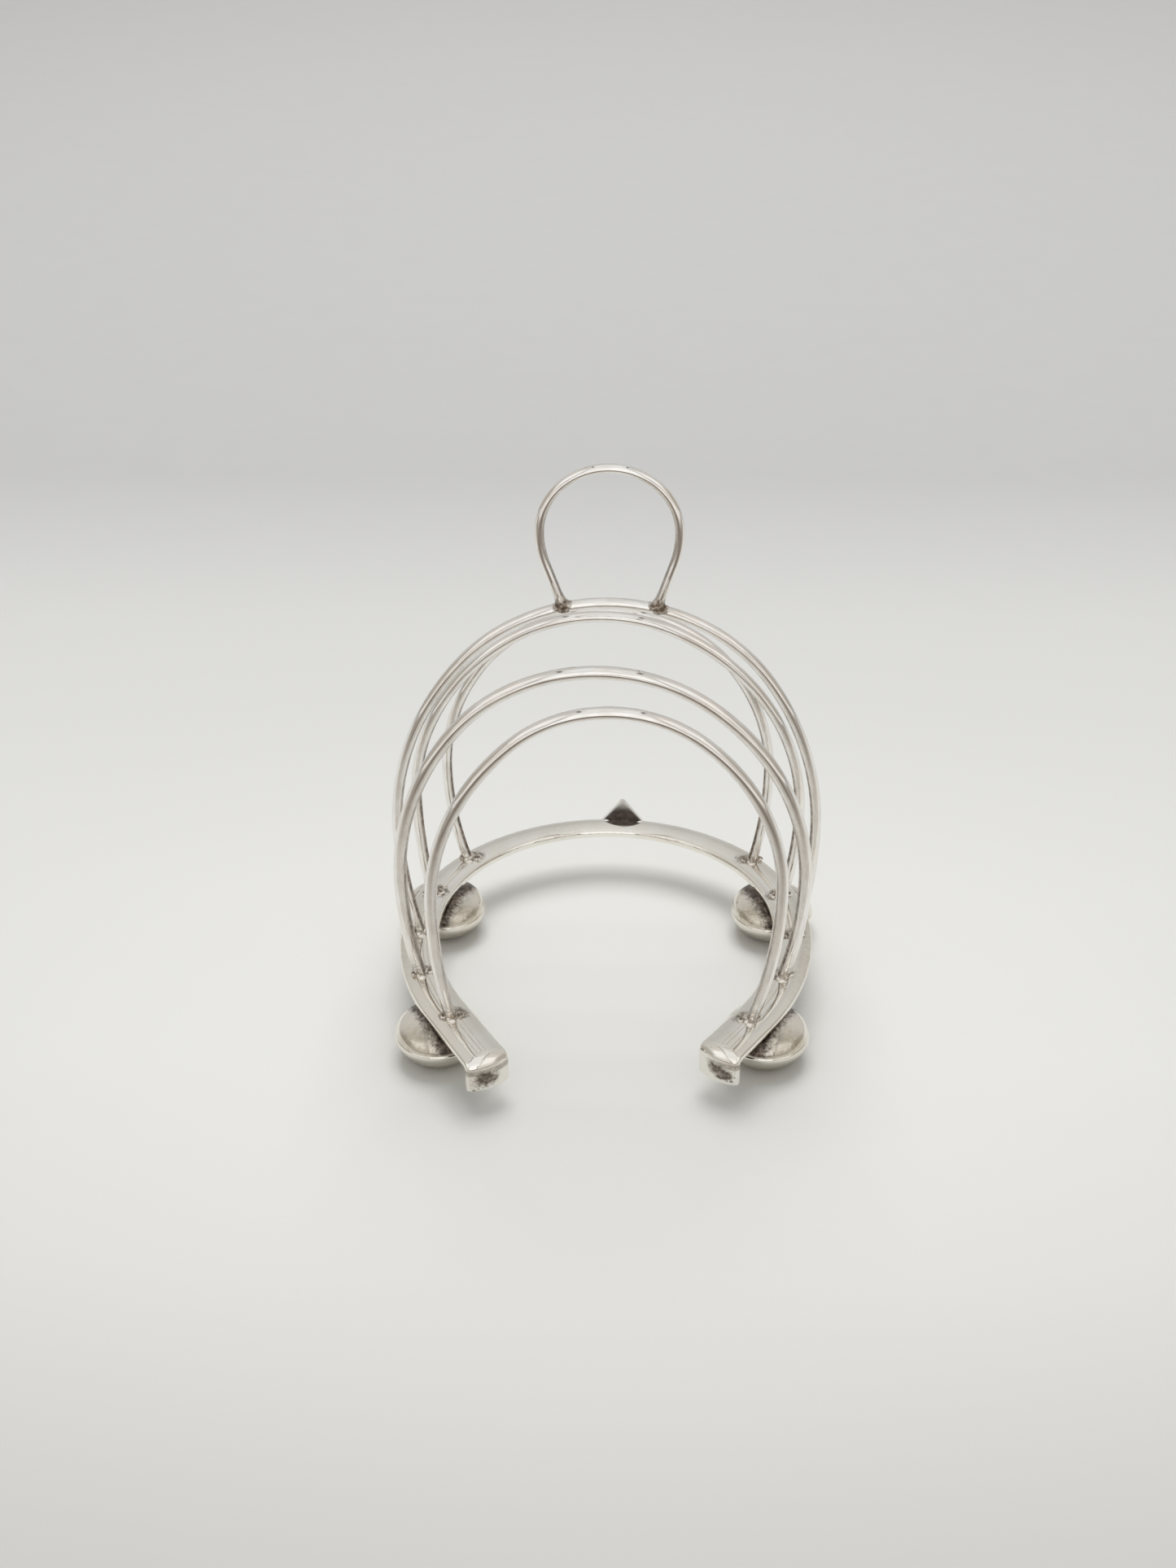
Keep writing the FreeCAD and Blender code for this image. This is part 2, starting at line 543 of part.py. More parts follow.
# ---------------------------------------------------------------- assembly
nodes = {}
bar = build_bar()
hoops = {}
for hoop in HOOPS:
    hoops[hoop[0]] = build_hoop(hoop[0])
drilled = boolean_cut("drilled_bar", bar, [hoops[h[0]] for h in HOOPS])
finish_node("horseshoe_base", drilled, nodes)
finish_node("toe_clip", build_clip(bar), nodes)
for label, hoop_body in hoops.items():
    finish_node(label, hoop_body, nodes)
ring, leg_x = build_handle()
handle = boolean_cut("seated_handle", ring, [hoops["centre_hoop"]])
finish_node("carrying_handle", handle, nodes)
for label, foot_x, foot_y in FEET:
    finish_node(label, build_foot(label, foot_x, foot_y), nodes)

crest = DIM["crest_height"]
shift = DIM["shoe_shift"]
for label, plane in [hoop[:2] for hoop in HOOPS]:
    puddles = []
    for hand, word in ((-1, "left"), (1, "right")):
        centre = V(hand * (DIM["%s_%s_stance" % (label, word)] + 0.15), plane + shift, crest - 0.35)
        puddles.append(blob("%s_puddle_%d" % (label, hand + 1), centre, 3.0, 2.2, 1.4))
    joint = boolean_cut(label + "_joint", group(label + "_puddles", puddles), [bar, hoops[label]])
    finish_node(label + "_solder", joint, nodes)

handle_blobs = []
for hand in (-1, 1):
    hoop_top = DIM["centre_hoop_height"] - 1.6
    centre = V(DIM["ring_offset"] + hand * (leg_x + 0.2), shift, crest + hoop_top + 1.8)
    handle_blobs.append(blob("handle_blob_%d" % (hand + 1), centre, 2.9, 1.9, 2.6))
joint = boolean_cut("handle_joint", group("handle_blobs", handle_blobs), [ring, hoops["centre_hoop"]])
finish_node("handle_solder", joint, nodes)

beads = []
for hand in (-1, 1):
    bearing = math.asin((DIM["clip_offset"] + hand * 4.6) / DIM["toe_radius"])
    reach = DIM["toe_radius"] + DIM["toe_width"] / 2 - 1.9
    centre = V(reach * math.sin(bearing), DIM["toe_centre"] + shift + reach * math.cos(bearing), crest - 0.7)
    beads.append(blob("clip_bead_%d" % (hand + 1), centre, 1.3, 0.9, 0.9))
joint = boolean_cut("clip_joint", group("clip_beads", beads), [bar, nodes["toe_clip"]])
finish_node("toe_clip_solder", joint, nodes)

# ---------------------------------------------------------------- checks and export
doc.recompute()
for obj in doc.Objects:
    bad = [s for s in obj.State if s in ("Invalid", "Error")]
    if bad:
        raise RuntimeError("%s is %s" % (obj.Name, bad))
os.makedirs("parts", exist_ok=True)
whole = None
for label, obj in nodes.items():
    shape = obj.Shape
    if shape.isNull() or not shape.isValid() or shape.Volume <= 0:
        raise RuntimeError(label + " has no valid solid")
    shape.exportStep("parts/%s.step" % label)
    box = shape.optimalBoundingBox()
    whole = box if whole is None else whole.united(box)
    print("%-24s solids %d volume %.1f" % (label, len(shape.Solids), shape.Volume))
print("overall %.2f..%.2f  %.2f..%.2f  %.2f..%.2f" % (
    whole.XMin, whole.XMax, whole.YMin, whole.YMax, whole.ZMin, whole.ZMax))
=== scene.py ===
import math

import bmesh
import bpy
import numpy as np
from mathutils import Matrix, Vector, noise


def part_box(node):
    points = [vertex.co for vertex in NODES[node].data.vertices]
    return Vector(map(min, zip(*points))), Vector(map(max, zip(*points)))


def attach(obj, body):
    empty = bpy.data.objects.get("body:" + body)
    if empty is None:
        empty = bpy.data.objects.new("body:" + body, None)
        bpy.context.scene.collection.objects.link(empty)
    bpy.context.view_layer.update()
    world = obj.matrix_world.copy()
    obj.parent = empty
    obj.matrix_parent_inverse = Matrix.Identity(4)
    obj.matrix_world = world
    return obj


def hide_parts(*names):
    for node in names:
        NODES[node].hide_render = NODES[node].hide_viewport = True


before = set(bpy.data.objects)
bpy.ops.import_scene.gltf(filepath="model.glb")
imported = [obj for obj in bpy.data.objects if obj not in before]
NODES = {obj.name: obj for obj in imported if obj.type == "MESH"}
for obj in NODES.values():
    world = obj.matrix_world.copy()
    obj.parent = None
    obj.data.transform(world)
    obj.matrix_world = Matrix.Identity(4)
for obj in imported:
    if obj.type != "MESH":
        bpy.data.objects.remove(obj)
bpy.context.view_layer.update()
MM = 0.001
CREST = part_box("horseshoe_base")[1].z

HANDS = (-1, 1)
HOOPS = ("rear_hoop", "mid_rear_hoop", "centre_hoop", "mid_front_hoop", "front_hoop")
FEET = ("foot_front_left", "foot_front_right", "foot_rear_left", "foot_rear_right")


# ------------------------------------------------------------------ node helpers
class Graph:
    """Short calls for building a node tree."""

    def __init__(self, tree):
        self.tree = tree
        tree.nodes.clear()

    def node(self, kind, **values):
        made = self.tree.nodes.new(kind)
        for name, value in values.items():
            setattr(made, name, value)
        return made

    def link(self, source, target):
        """Joins two sockets, or sets the target when the source is a number or a colour."""
        if isinstance(source, (int, float)):
            target.default_value = source
        elif isinstance(source, (tuple, list)):
            missing = len(target.default_value) - len(source)
            target.default_value = tuple(source) + (1.0,) * missing
        else:
            self.tree.links.new(source, target)

    def fill(self, node, values):
        """Feeds the first inputs of a node in their order."""
        for socket, value in zip(node.inputs, values):
            self.link(value, socket)
        return node

    def math(self, operation, *values):
        return self.fill(self.node("ShaderNodeMath", operation=operation), values).outputs[0]

    def times(self, *values):
        total = values[0]
        for value in values[1:]:
            total = self.math("MULTIPLY", total, value)
        return total

    def vector(self, operation, *values):
        made = self.fill(self.node("ShaderNodeVectorMath", operation=operation), values)
        gives_number = operation in ("DISTANCE", "LENGTH", "DOT_PRODUCT")
        return made.outputs[1 if gives_number else 0]

    def axes(self, source):
        """The x, y and z of a vector."""
        return tuple(self.fill(self.node("ShaderNodeSeparateXYZ"), (source,)).outputs)

    def step(self, value, low, high, first=0.0, last=1.0, shape="SMOOTHSTEP"):
        """Change from first to last while value goes from low to high; smooth unless LINEAR."""
        made = self.node("ShaderNodeMapRange", interpolation_type=shape)
        return self.fill(made, (value, low, high, first, last)).outputs[0]

    def noise(self, where, scale, detail=3.0, rough=0.5, stretch=None):
        if stretch:
            where = self.vector("MULTIPLY", where, stretch)
        made = self.node("ShaderNodeTexNoise")
        self.link(where, made.inputs["Vector"])
        made.inputs["Scale"].default_value = scale
        made.inputs["Detail"].default_value = detail
        made.inputs["Roughness"].default_value = rough
        return made.outputs["Fac"]

    def mix(self, share, first, second):
        """Colour that goes from first to second while share goes from 0 to 1."""
        made = self.node("ShaderNodeMix", data_type="RGBA")
        colours = [s for s in made.inputs if s.type == "RGBA"]
        self.link(share, made.inputs[0])
        self.link(first, colours[0])
        self.link(second, colours[1])
        return [s for s in made.outputs if s.type == "RGBA"][0]

    def ramp(self, value, stops):
        """Colour ramp through stops of (place, colour)."""
        made = self.node("ShaderNodeValToRGB")
        elements = made.color_ramp.elements
        while len(elements) < len(stops):
            elements.new(0.5)
        for element, (place, tone) in zip(elements, stops):
            element.position = place
            element.color = tone + (1.0,)
        self.link(value, made.inputs[0])
        return made.outputs[0]

    def finish(self, kind, shader):
        self.link(shader.outputs[0], self.node(kind).inputs[0])


def new_material(name):
    material = bpy.data.materials.new(name)
    material.use_nodes = True
    return material, Graph(material.node_tree)


def new_object(name, data):
    made = bpy.data.objects.new(name, data)
    bpy.context.scene.collection.objects.link(made)
    return made


# ------------------------------------------------------------------ camera
LENS, SENSOR = 51.375, 36.0
CAMERA_PLACE = (0.0145, -0.4828, 0.3626)
CAMERA_AHEAD = (-0.0328, 0.8474, -0.5299)
CAMERA_RIGHT = (0.9994, 0.0315, -0.0114)


def make_camera():
    """Camera in front of the rack, looking 32 degrees down."""
    data = bpy.data.cameras.new("camera")
    data.sensor_width = SENSOR
    data.lens = LENS
    data.clip_start = 0.01
    data.clip_end = 50.0
    camera = new_object("camera", data)
    forward = Vector(CAMERA_AHEAD).normalized()
    right = Vector(CAMERA_RIGHT)
    right = (right - forward * right.dot(forward)).normalized()
    up = right.cross(forward)
    turn = Matrix((right, up, -forward)).transposed().to_4x4()
    camera.matrix_world = Matrix.Translation(CAMERA_PLACE) @ turn
    bpy.context.scene.camera = camera


# ------------------------------------------------------------------ stage and light
FLOOR_RADIUS, FLOOR_CORNERS = 3.0, 96
# The floor's tone with painted shade, from its nearest to its farthest y: stops of (share of the
# way, colour).
FLOOR_NEAR, FLOOR_FAR = -0.26, 1.24
FLOOR_SHADE_TONES = (
    (0.00, (0.63, 0.62, 0.60)), (0.05, (0.70, 0.69, 0.67)), (0.10, (0.79, 0.785, 0.76)),
    (0.15, (0.815, 0.815, 0.79)), (0.20, (0.795, 0.795, 0.77)), (0.26, (0.735, 0.735, 0.715)),
    (0.31, (0.69, 0.69, 0.675)), (0.340, (0.635, 0.635, 0.625)), (0.39, (0.545, 0.545, 0.538)),
    (0.60, (0.555, 0.555, 0.548)), (1.00, (0.59, 0.588, 0.58)))
# Colour of the painted pool of light round the rack's middle, and of the paper's grain.
FLOOR_PAINTED_LIGHT, FLOOR_GRAIN = (1.35, 1.35, 1.32), (0.75, 0.75, 0.74)
FLOOR_MIDDLE = (0.0, -0.05, 0.0)

# What the metal mirrors, by turn: 0 is level in front of the rack, 0.5 overhead, 1 level behind.
PANEL = (
    (0.00, (1.10, 1.09, 1.08)), (0.155, (1.08, 1.07, 1.06)), (0.20, (0.97, 0.96, 0.95)),
    (0.28, (0.86, 0.855, 0.845)), (0.50, (0.87, 0.865, 0.855)), (0.58, (0.77, 0.765, 0.75)),
    (0.68, (0.68, 0.675, 0.665)), (0.80, (0.61, 0.605, 0.59)), (0.88, (0.53, 0.525, 0.51)),
    (1.00, (0.58, 0.575, 0.56)))
WALL = (
    (0.00, (0.74, 0.71, 0.685)), (0.20, (0.73, 0.705, 0.68)), (0.45, (0.71, 0.695, 0.675)),
    (0.68, (0.58, 0.57, 0.555)), (1.00, (0.58, 0.57, 0.56)))
SIDE_PANEL = (
    (0.00, (0.72, 0.68, 0.64)), (0.10, (0.74, 0.70, 0.66)), (0.16, (0.98, 0.97, 0.955)),
    (0.38, (1.02, 1.01, 0.995)), (0.46, (0.70, 0.67, 0.63)), (1.00, (0.58, 0.57, 0.555)))
FAR_WALL, STAND = (0.44, 0.41, 0.36), (0.15, 0.125, 0.11)
ROOM_LIGHT, ROOM_POWER = (1.0, 0.99, 0.975), 0.50

# The shade in front of the rack, by distance from the middle of the rack toward the front.
SHADE_START, SHADE_REACH, SHADE_LIFT = 0.062, 3, 0.001
SHADE_TONES = (
    (0.060, (0.62, 0.60, 0.56)), (0.085, (0.62, 0.595, 0.555)), (0.120, (0.44, 0.41, 0.37)),
    (0.170, (0.23, 0.20, 0.17)), (0.270, (0.22, 0.19, 0.165)), (0.330, (0.60, 0.57, 0.54)),
    (0.380, (1.08, 1.06, 1.04)))
SHADE_ASIDE = (0.56, 0.53, 0.48)

LAMP_PLACE, LAMP_SIZE, LAMP_POWER = (0.0, 0.66, 1.46), 1.0, 15.0


def make_floor():
    """Round sheet of pale paper with painted shade: darker toward the front, and softly darker
    again a hand's width behind the rack; a painted pool of light lies round the rack's middle.
    """
    corners = [(0.0, 0.0, 0.0)]
    for i in range(FLOOR_CORNERS):
        angle = 2 * math.pi * i / FLOOR_CORNERS
        corners.append((FLOOR_RADIUS * math.cos(angle), FLOOR_RADIUS * math.sin(angle), 0.0))
    faces = [(0, 1 + i, 1 + (i + 1) % FLOOR_CORNERS) for i in range(FLOOR_CORNERS)]
    mesh = bpy.data.meshes.new("floor")
    mesh.from_pydata(corners, [], faces)
    floor = new_object("floor", mesh)
    material, g = new_material("pale_paper")
    place = g.node("ShaderNodeNewGeometry").outputs["Position"]
    depth = g.step(g.axes(place)[1], FLOOR_NEAR, FLOOR_FAR, shape="LINEAR")
    # painted shade: the paper darkens toward the front and again behind the rack
    tone = g.ramp(depth, FLOOR_SHADE_TONES)
    middle = g.vector("DISTANCE", place, FLOOR_MIDDLE)
    # painted pool of light: the paper is lightened round the rack's middle
    tone = g.mix(g.step(middle, 0.04, 0.22, 0.09, 0.0), tone, FLOOR_PAINTED_LIGHT)
    grain = g.noise(place, 60.0, 4.0)
    tone = g.mix(g.step(grain, 0.3, 0.7, 0.0, 0.03), tone, FLOOR_GRAIN)
    paper = g.node("ShaderNodeBsdfPrincipled")
    g.link(tone, paper.inputs["Base Color"])
    paper.inputs["Roughness"].default_value = 0.9
    paper.inputs["Specular IOR Level"].default_value = 0.1
    g.finish("ShaderNodeOutputMaterial", paper)
    mesh.materials.append(material)


def make_world():
    """Studio round the rack: a long panel of light in front and overhead, with dim edges,
    between warm walls with a bright panel on each side."""
    world = bpy.data.worlds.new("studio")
    bpy.context.scene.world = world
    world.use_nodes = True
    g = Graph(world.node_tree)
    x, y, z = g.axes(g.node("ShaderNodeTexCoord").outputs["Generated"])
    side = g.math("ABSOLUTE", x)
    turn = g.math("DIVIDE", g.math("ARCTAN2", z, g.math("MULTIPLY", y, -1.0)), math.pi)
    on_side_panel = g.times(g.step(side, 0.40, 0.47), g.step(side, 0.80, 0.90, 1.0, 0.0))
    far = g.mix(g.step(side, 0.80, 0.97), g.ramp(turn, WALL), FAR_WALL)
    far = g.mix(on_side_panel, far, g.ramp(turn, SIDE_PANEL))
    sweep = g.mix(g.step(side, 0.30, 0.36), g.ramp(turn, PANEL), far)
    # dark stands along the panel's edges, overhead and low in front
    above = g.times(g.step(turn, 0.36, 0.42), g.step(turn, 0.60, 0.68, 1.0, 0.0))
    ahead = g.step(turn, 0.10, 0.17, 1.0, 0.0)
    off_edge = g.math("ABSOLUTE", g.math("SUBTRACT", side, 0.32))
    edge = g.step(off_edge, 0.008, 0.032, 1.0, 0.0)
    stand = g.times(edge, g.times(g.math("MAXIMUM", above, ahead), 0.9))
    seen = g.node("ShaderNodeBackground")
    g.link(g.mix(stand, sweep, STAND), seen.inputs[0])
    lamp = g.node("ShaderNodeBackground")
    g.fill(lamp, (ROOM_LIGHT, ROOM_POWER))
    both = g.node("ShaderNodeMixShader")
    mirrored = g.node("ShaderNodeLightPath").outputs["Is Glossy Ray"]
    g.fill(both, (mirrored, lamp.outputs[0], seen.outputs[0]))
    g.finish("ShaderNodeOutputWorld", both)


def make_front_shade():
    """Brownish shade on the table in front of the rack: it shows only in the metal."""
    mesh = bpy.data.meshes.new("front_shade")
    corners = [(x, y, SHADE_LIFT) for x, y in (
        (-SHADE_REACH, -SHADE_REACH), (SHADE_REACH, -SHADE_REACH),
        (SHADE_REACH, -SHADE_START), (-SHADE_REACH, -SHADE_START))]
    mesh.from_pydata(corners, [], [(0, 1, 2, 3)])
    card = new_object("front_shade", mesh)
    card.visible_camera = False
    card.visible_diffuse = False
    card.visible_shadow = False
    material, g = new_material("front_shade")
    x, y, _ = g.axes(g.node("ShaderNodeNewGeometry").outputs["Position"])
    tone = g.ramp(g.math("MULTIPLY", y, -1.0), SHADE_TONES)
    aside = g.step(g.math("ABSOLUTE", x), 0.09, 0.24, 0.0, 0.45)
    glow = g.node("ShaderNodeEmission")
    g.link(g.mix(aside, tone, SHADE_ASIDE), glow.inputs[0])
    g.finish("ShaderNodeOutputMaterial", glow)
    mesh.materials.append(material)


def make_back_light():
    """Soft square lamp high behind the rack; it is not mirrored in the metal."""
    data = bpy.data.lights.new("back_light", "AREA")
    data.shape = "SQUARE"
    data.size = LAMP_SIZE
    data.energy = LAMP_POWER
    lamp = new_object("back_light", data)
    lamp.location = LAMP_PLACE
    lamp.rotation_euler = (-Vector(LAMP_PLACE)).to_track_quat("-Z", "Y").to_euler()
    lamp.visible_glossy = False


# ------------------------------------------------------------------ materials
PLATE = (0.905, 0.892, 0.868)
BAR_PLATE, FOOT_PLATE = (0.905, 0.89, 0.84), (0.89, 0.862, 0.80)
SOLDER_PLATE, FILLET_PLATE = (0.86, 0.83, 0.78), (0.86, 0.83, 0.79)
PIT = (0.30, 0.25, 0.21)

# Kinds of tarnish and stain, also used for painted shade and painted dark reflections: darkest
# colour, palest colour, and how much rougher it makes the metal.
BLACK = ((0.045, 0.032, 0.028), (0.20, 0.16, 0.13), 0.20)
SMOKE = ((0.07, 0.052, 0.042), (0.30, 0.25, 0.21), 0.20)
BROWN = ((0.13, 0.098, 0.072), (0.40, 0.34, 0.27), 0.20)
UMBER = ((0.19, 0.148, 0.112), (0.36, 0.305, 0.245), 0.20)
INK = ((0.032, 0.023, 0.021), (0.075, 0.055, 0.048), 0.20)
# yellow film; on the feet's bottoms the same colours are painted shade
FILM_AND_SHADE = ((0.42, 0.37, 0.28), (0.60, 0.555, 0.455), 0.01)

# Stretch of the fine lines left by drawing the wire.
ALONG_HOOP = (0.07, 1.0, 0.07)

# Scale of each noise; a larger one is finer.
CLOUDS, GRAIN, SPECKLE, PITS = 90.0, 900.0, 1900.0, 2300.0
WEAR, WIRE_LINES, LINE_GAPS, BAR_CLOUDS = 260.0, 2600.0, 420.0, 55.0


class Surface:
    """What a mask of tarnish, stains and painted shade may look at: place, facing direction and
    noise.
    """

    def __init__(self, g):
        self.g = g
        self.place = g.node("ShaderNodeTexCoord").outputs["Object"]
        facing = g.node("ShaderNodeNewGeometry")
        self.normal = facing.outputs["Normal"]
        self.crease = facing.outputs["Pointiness"]
        self.cloud = g.noise(self.place, CLOUDS, 4.0)
        self.fine = g.noise(self.place, GRAIN, 4.0, 0.6)
        self.x, self.y, self.z = g.axes(self.place)

    def patch(self, centre, radii, ragged=0.9, soft=0.45):
        """1 inside an ellipsoid with a ragged edge, 0 outside; sizes in mm."""
        g = self.g
        off = g.vector("SUBTRACT", self.place, tuple(c * MM for c in centre))
        off = g.vector("MULTIPLY", off, tuple(1.0 / (r * MM) for r in radii))
        wobble = g.times(g.math("SUBTRACT", self.fine, 0.5), ragged)
        return g.step(g.math("ADD", g.vector("LENGTH", off), wobble), soft, 1.0, 1.0, 0.0)

    def inward(self, across):
        """How far the surface faces the rack's middle plane; across is the normal's x."""
        return self.g.times(across, self.g.math("SIGN", self.x), -1.0)

    def join(self, *masks):
        total = masks[0]
        for mask in masks[1:]:
            total = self.g.math("MAXIMUM", total, mask)
        return total


def tinted(tone, factors):
    return tuple(t * f for t, f in zip(tone, factors))


def silver(name, stains_and_shade=(), shade=PLATE, rough=0.07, drawn=None):
    """Polished silver plate with wear, sparse pits and tarnish; stains_and_shade holds pairs of
    mask maker and colour kind, for stains and tarnish and for painted shade and dark reflections,
    and drawn the stretch of the lines left by drawing the wire."""
    material, g = new_material(name)
    skin = Surface(g)
    colour = g.mix(g.step(skin.cloud, 0.35, 0.72), shade, tinted(shade, (0.975, 0.95, 0.925)))
    dull = g.step(skin.cloud, 0.3, 0.7, rough * 0.7, rough * 1.4)
    worn = g.noise(skin.place, WEAR, 3.0, 0.55)
    if drawn:
        lines = g.noise(skin.place, WIRE_LINES, 3.0, 0.6, drawn)
        streak = g.step(lines, 0.40, 0.66, 0.0, 0.34)
        colour = g.mix(streak, colour, tinted(shade, (0.70, 0.665, 0.63)))
    pits = g.noise(skin.place, PITS, 2.0, 0.5)
    speck = g.times(g.step(pits, 0.68, 0.76), g.step(worn, 0.50, 0.66))
    colour = g.mix(g.times(speck, 0.6), colour, PIT)
    # each mask lays its colour over the metal: some are tarnish and stains, some painted shade
    # and painted dark reflections
    for maker, (dark, pale, dulling) in stains_and_shade:
        mask = maker(skin)
        mark_colour = g.mix(g.step(skin.fine, 0.38, 0.66), dark, pale)
        colour = g.mix(mask, colour, mark_colour)
        dull = g.math("ADD", dull, g.times(mask, dulling))
    metal = g.node("ShaderNodeBsdfPrincipled")
    metal.inputs["Metallic"].default_value = 1.0
    g.link(colour, metal.inputs["Base Color"])
    g.link(dull, metal.inputs["Roughness"])
    height = g.math("ADD", g.times(skin.cloud, 0.55), g.times(skin.fine, 0.05))
    height = g.math("SUBTRACT", height, g.times(speck, 0.12))
    bump = g.node("ShaderNodeBump")
    bump.inputs["Strength"].default_value = 0.22
    bump.inputs["Distance"].default_value = 0.2 * MM
    g.link(height, bump.inputs["Height"])
    g.link(bump.outputs[0], metal.inputs["Normal"])
    g.finish("ShaderNodeOutputMaterial", metal)
    return material


def paint(node, material):
    obj = NODES[node]
    obj.data.materials.clear()
    obj.data.materials.append(material)


# ------------------------------------------------------------------ places on the bar and wires
# All in mm.
JOINT_INSET = 3.0     # from the side of a solder node's box to the middle of its joint
HANDLE_INSET = 2.9    # the same for the two feet of the ring
HIGH_WIRE = 60        # the crown of a hoop is above this height
FOOT_REACH = 13       # the bar over a foot is this near to the foot's middle in plan
BAR_TOP = 11          # and above this height
HEEL_TOP = 11.5       # a heel's end face is below this height
HEEL_START = -45      # and in front of this y


def find_joints():
    """Hoop, hand and place of each joint between a hoop and the bar."""
    found = []
    for hoop in HOOPS:
        low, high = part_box(hoop + "_solder")
        for hand in HANDS:
            x = low.x + JOINT_INSET * MM if hand < 0 else high.x - JOINT_INSET * MM
            found.append((hoop, hand, Vector((x, 0.5 * (low.y + high.y), CREST))))
    return found


def points_of(node):
    """Vertex places of a node, one row each, in mm."""
    mesh = NODES[node].data
    flat = np.empty(3 * len(mesh.vertices))
    mesh.vertices.foreach_get("co", flat)
    return flat.reshape(-1, 3) / MM


def cut_centre(node, axis, value, keep):
    """Middle of a wire where the plane axis = value cuts it, in mm."""
    mesh = NODES[node].data
    pairs = np.empty(2 * len(mesh.edges), dtype=np.int32)
    mesh.edges.foreach_get("vertices", pairs)
    places = points_of(node)
    first, last = places[pairs[0::2]], places[pairs[1::2]]
    gap = last[:, axis] - first[:, axis]
    crosses = (first[:, axis] - value) * (last[:, axis] - value) <= 0
    hit = crosses & (np.abs(gap) > 1e-9)
    share = (value - first[hit, axis]) / gap[hit]
    cuts = first[hit] + (last[hit] - first[hit]) * share[:, None]
    return Vector(cuts[keep(cuts)].mean(axis=0))


def bar_line(foot):
    """Point and sideways direction, in plan, of the bar where it crosses a foot."""
    low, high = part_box(foot)
    middle = 0.5 * (low + high) / MM
    places = points_of("horseshoe_base")
    off = places[:, :2] - np.array((middle.x, middle.y))
    near = places[(np.hypot(off[:, 0], off[:, 1]) < FOOT_REACH) & (places[:, 2] > BAR_TOP)]
    mean = near.mean(axis=0)
    spread = np.cov((near - mean)[:, :2].T)
    along = 0.5 * math.atan2(2 * spread[0, 1], spread[0, 0] - spread[1, 1])
    return Vector(mean) * MM, Vector((-math.sin(along), math.cos(along), 0.0))


def heel_faces():
    """Centre of the folded-down end face on each hand, in mm."""
    mesh = NODES["horseshoe_base"].data
    count = len(mesh.polygons)
    centre, normal, area = np.empty(3 * count), np.empty(3 * count), np.empty(count)
    mesh.polygons.foreach_get("center", centre)
    mesh.polygons.foreach_get("normal", normal)
    mesh.polygons.foreach_get("area", area)
    centre, normal = centre.reshape(-1, 3) / MM, normal.reshape(-1, 3)
    ahead = (normal[:, 1] < -0.7) & (centre[:, 2] < HEEL_TOP) & (centre[:, 1] < HEEL_START)
    found = []
    for hand in HANDS:
        own = ahead & (centre[:, 0] * hand > 0)
        found.append(Vector((centre[own] * area[own, None]).sum(axis=0) / area[own].sum()))
    return found


# ------------------------------------------------------------------ solder
# Sizes in mm. Grid on which the balls are fused into one skin:
VOXEL = 0.17
# Balls of a joint as middle and radii: puddle, bead in front, neck of the bead, wire's collar.
JOINT_BALLS = (((0.0, 0.1, -0.40), (2.6, 1.9, 0.8)), ((0.1, -1.85, -0.08), (1.15, 0.80, 0.72)),
               ((-0.7, -1.2, 0.1), (0.8, 0.7, 0.8)), ((0.0, 0.25, 0.35), (1.6, 1.5, 1.2)))
BEAD = (0.1, -2.0, 0.1)
# Curled rims beside the wire: hand, place backward and radius; each is a ring of balls.
CURLS = ((-1, -0.2, 0.72), (1, 0.75, 0.92))
CURL_BALLS = 14
# Balls along the hoop's crown to each side of a foot of the ring, and up that foot.
CROWN_STEPS, CROWN_STEP = 8, 0.42
RISE_BALLS, RISE_STEP, RISE_START = 7, 0.62, -2.3


def ball(bm, centre, radii):
    """Ball at centre in m, with its three radii in mm."""
    place = Matrix.Translation(centre) @ Matrix.Diagonal((radii[0], radii[1], radii[2], 1.0))
    bmesh.ops.create_icosphere(bm, subdivisions=2, radius=MM, matrix=place)


def melt(name, bm, lump, seed):
    """Fuses overlapping balls into one skin and roughens it by lump mm."""
    raw = bpy.data.meshes.new(name + "_raw")
    bm.to_mesh(raw)
    bm.free()
    holder = new_object(name + "_raw", raw)
    remesh = holder.modifiers.new("melt", "REMESH")
    remesh.mode = "VOXEL"
    remesh.voxel_size = VOXEL * MM
    soften = holder.modifiers.new("soften", "SMOOTH")
    soften.factor = 0.6
    soften.iterations = 3
    mesh = bpy.data.meshes.new_from_object(
        holder.evaluated_get(bpy.context.evaluated_depsgraph_get()))
    mesh.name = name
    bpy.data.objects.remove(holder)
    for vertex in mesh.vertices:
        where = vertex.co / MM + Vector((seed * 3.7, 0.0, 0.0))
        vertex.co += vertex.normal * noise.noise(where * 1.1) * lump * MM
    for face in mesh.polygons:
        face.use_smooth = True
    return new_object(name, mesh)


